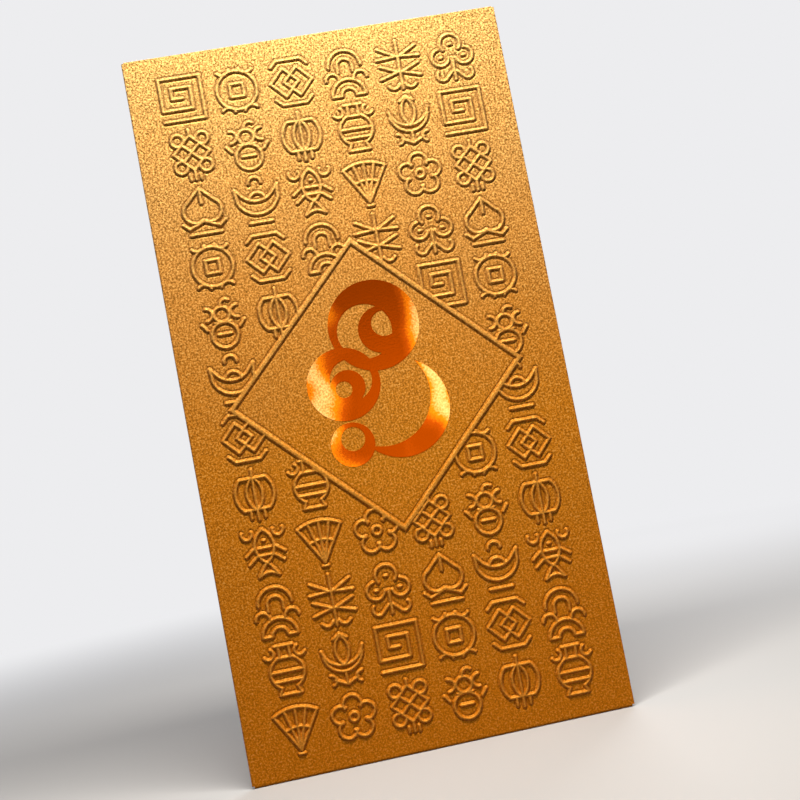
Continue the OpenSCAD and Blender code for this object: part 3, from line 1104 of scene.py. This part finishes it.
@dataclass
class ClosingFlap:
    """The top flap with its gum, and the spine whose rear score it turns on."""

    card: CardWork
    gum: Material
    taper: float = 9.0
    corner_r: float = 6.0
    gum_edge_wave: float = 0.25
    gum_waves_per_mm: tuple[float, float] = (0.9, 0.37)
    gum_edge_round: float = 0.012
    gum_steps: int = 60
    foot_drop: float = 0.015

    def spine(self) -> None:
        """Builds the spine, which joins the face to the flap over the packet's top edge.

        The coated side goes up behind the flap's fold, round a quarter circle, along the top,
        round another quarter circle and down to the face. The bare side goes back inside it.
        The rear quarter circle is the score that the flap turns on.
        """
        low, high = box_mm("top_fold")
        card_t, top, foot = self.card.card_t, high[2], low[2] - self.foot_drop
        score_z = top - card_t / 2
        turn = np.linspace(0, 90, self.card.bend_steps)
        outer = np.concatenate(
            [
                [[high[1], foot]],
                arc_points((high[1] - card_t / 2, score_z), card_t / 2, turn),
                arc_points((low[1] + card_t / 2, score_z), card_t / 2, turn + 90),
                [[low[1], foot]],
            ]
        )
        front, rear = low[1] + card_t, high[1] - card_t
        inner = [[front, foot], [front, low[2]], [rear, low[2]], [rear, foot]]
        outer, inner = (np.insert(side, 0, low[0], axis=1) for side in (outer, inner))
        piece = self.card.bent("spine", outer, inner, np.array([high[0] - low[0], 0, 0]))
        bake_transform(piece)
        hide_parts("top_fold")
        LOG.info("spine bends between %s and %s", Body.PACKET.value, Body.CLOSING_FLAP.value)

    def gum_film(self) -> Object:
        """Makes the gum strip as a film whose long edges wander a little, as a roller does."""
        low, high = box_mm("flap_gum_strip")
        x = np.linspace(low[0], high[0], self.gum_steps)
        quick, slow = self.gum_waves_per_mm
        wave = self.gum_edge_wave * (1 + np.sin(x * quick) * np.cos(x * slow)) / 2
        under = np.stack([x, low[2] + wave], axis=1)
        over = np.stack([x, high[2] - wave[::-1]], axis=1)[::-1]
        film = CardWork(self.gum, self.gum, high[1] - low[1], self.gum_edge_round)
        return film.plate("gum_film", np.concatenate([under, over]), low[1], Side.FRONT)

    def build(self) -> None:
        """Builds the spine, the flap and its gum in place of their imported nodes."""
        self.spine()
        low, high = box_mm("top_flap")
        outline = flap_outline(high[0], high[2], high[2] - low[2], self.taper, self.corner_r)
        sheet = self.card.plate("top_flap_sheet", outline, low[1], Side.BACK)
        add_piece(sheet, Body.CLOSING_FLAP, "card_gold_back", "top_flap")
        add_piece(self.gum_film(), Body.CLOSING_FLAP, "gum", "flap_gum_strip")


# The studio.


@dataclass(frozen=True)
class SoftBox:
    """A soft lamp: its place, its aim, its width and depth, and its power in watts."""

    name: str
    place: tuple[float, float, float]
    aim: tuple[float, float, float]
    size: tuple[float, float]
    power: float
    colour: str = "#FFFFFF"

    def build(self) -> None:
        """Adds the lamp, turned so that it shines at its aim."""
        lamp = bpy.data.lights.new(self.name, "AREA")
        lamp.shape = "RECTANGLE"
        lamp.size, lamp.size_y = (length * MM for length in self.size)
        lamp.energy = self.power
        lamp.color = linear(self.colour)[:3]
        stand = bpy.data.objects.new(self.name, lamp)
        stand.location = Vector(self.place) * MM
        stand.visible_camera = False
        way = Vector(self.aim) - Vector(self.place)
        stand.rotation_euler = way.to_track_quat("-Z", "Y").to_euler()
        bpy.context.scene.collection.objects.link(stand)


@dataclass
class Studio:
    """Pale floor, pale surroundings, soft lamps, and the camera at the photograph's angle."""

    floor_half: float = 4000.0
    floor_fade: tuple[float, float] = (120.0, 480.0)
    floor_colour: str = "#B2B2B4"
    floor_bounce: str = "#545456"
    background: str = "#EDEDEF"
    fill_strength: float = 0.05
    lens_mm: float = 50.0
    sensor_mm: float = 36.0
    clip_start: float = 10.0
    aim: tuple[float, float, float] = (4.5, -0.5, 80.3)
    azimuth: float = -5.49
    elevation: float = -3.34
    roll: float = -10.94
    distance: float = 259.6
    lamps: tuple[SoftBox, ...] = (
        SoftBox("strip_above", (5, -70, 262), (0, 0, 70), (140, 34), 1.06, "#FFF8EC"),
        SoftBox("front_low", (40, -235, 75), (0, 0, 25), (100, 100), 0.046, "#FFF8EC"),
        SoftBox("fill_left", (-420, -380, 200), (0, 0, 80), (350, 350), 0.1),
        SoftBox("rear_soft", (180, 390, 220), (0, 0, 80), (260, 260), 1.4),
    )

    def seen_ray(self, add: Adder) -> NodeSocket:
        """Gives 1 for rays of the camera, of gloss and through glass, and 0 for softer light."""
        seen = add("LightPath", out="Is Camera Ray")
        for kind in ("Is Glossy Ray", "Is Transmission Ray"):
            seen = add("Math", {0: seen, 1: add("LightPath", out=kind)}, operation="MAXIMUM")
        return seen

    def build_floor(self) -> None:
        """Makes the floor: pale and matt near the packet, fading into the surroundings.

        The soft light that it throws back is that of a darker grey, so it doesn't flatten the
        relief.
        """
        material, add, place = new_material("pale_studio_floor")
        near_mm, far_mm = self.floor_fade
        away = add("VectorMath", {0: place}, "Value", operation="LENGTH")
        fade = add(
            "MapRange",
            {"Value": away, "From Min": near_mm * MM, "From Max": far_mm * MM},
            interpolation_type="SMOOTHSTEP",
        )
        seen = self.seen_ray(add)
        tones = {0: seen, 6: linear(self.floor_bounce), 7: linear(self.floor_colour)}
        tone = add("Mix", tones, 2, data_type="RGBA")
        near = add("BsdfPrincipled", {"Base Color": tone, "Roughness": 0.9})
        far = add("Emission", {"Color": linear(self.background)})
        shown = add("Math", {0: fade, 1: seen}, operation="MULTIPLY")
        surface = add("MixShader", {0: shown, 1: near, 2: far})
        add("OutputMaterial", {"Surface": surface})
        corners = np.array([[-1, -1, 0], [1, -1, 0], [1, 1, 0], [-1, 1, 0]]) * self.floor_half
        new_piece("studio_floor", corners, [[0, 1, 2, 3]], [material])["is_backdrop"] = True

    def build_world(self) -> None:
        """Makes the surroundings: the pale background that is seen, and an even softer light."""
        world = bpy.data.worlds.new("pale_surroundings")
        world.use_nodes = True
        bpy.context.scene.world = world
        world.node_tree.nodes.clear()
        add = partial(add_node, world.node_tree)
        light = add("Background", {"Color": linear("#FFFFFF"), "Strength": self.fill_strength})
        shown = add("Background", {"Color": linear(self.background), "Strength": 1.0})
        surface = add("MixShader", {0: self.seen_ray(add), 1: light, 2: shown})
        add("OutputWorld", {"Surface": surface})

    def build_camera(self) -> None:
        """Places the camera on a ball round its aim, then turns it about its own line of sight."""
        lens = bpy.data.cameras.new("studio_camera")
        lens.lens = self.lens_mm
        lens.sensor_width = self.sensor_mm
        lens.clip_start = self.clip_start * MM
        azimuth, elevation = math.radians(self.azimuth), math.radians(self.elevation)
        level = math.cos(elevation)
        back = Vector((math.sin(azimuth) * level, -math.cos(azimuth) * level, math.sin(elevation)))
        camera = bpy.data.objects.new("studio_camera", lens)
        camera.location = (Vector(self.aim) + back * self.distance) * MM
        turn = Quaternion((0, 0, 1), math.radians(self.roll))
        camera.rotation_mode = "QUATERNION"
        camera.rotation_quaternion = back.to_track_quat("Z", "Y") @ turn
        bpy.context.scene.collection.objects.link(camera)
        bpy.context.scene.camera = camera

    def build(self) -> None:
        """Builds the studio."""
        self.build_floor()
        self.build_world()
        self.build_camera()
        for lamp in self.lamps:
            lamp.build()
        bpy.context.scene.view_settings.view_transform = "Standard"


def dress(node: str, material: Material) -> None:
    """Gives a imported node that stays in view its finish."""
    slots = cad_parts[node].data.materials
    slots.clear()
    slots.append(material)
    LOG.info("%s dressed with %s", node, material.name)


def main() -> None:
    """Builds the packet's pieces in order, then the studio round it, and logs what was made."""
    logging.basicConfig(level=logging.INFO, format="%(name)s: %(message)s")
    gold, core, foil, glue, gum = (
        finish.build() for finish in (PearlCard(), CARD_REVERSE, StampedFoil(), GLUE, GUM)
    )
    Studio().build()
    card = CardWork(gold, core)
    EmbossedFace(gold, core).build()
    Pocket(card).build()
    ClosingFlap(card, gum).build()
    dress("foil_emblem", foil)
    dress("side_seam_glue", glue)
    dress("bottom_flap_glue", glue)


if __name__ == "__main__":
    main()
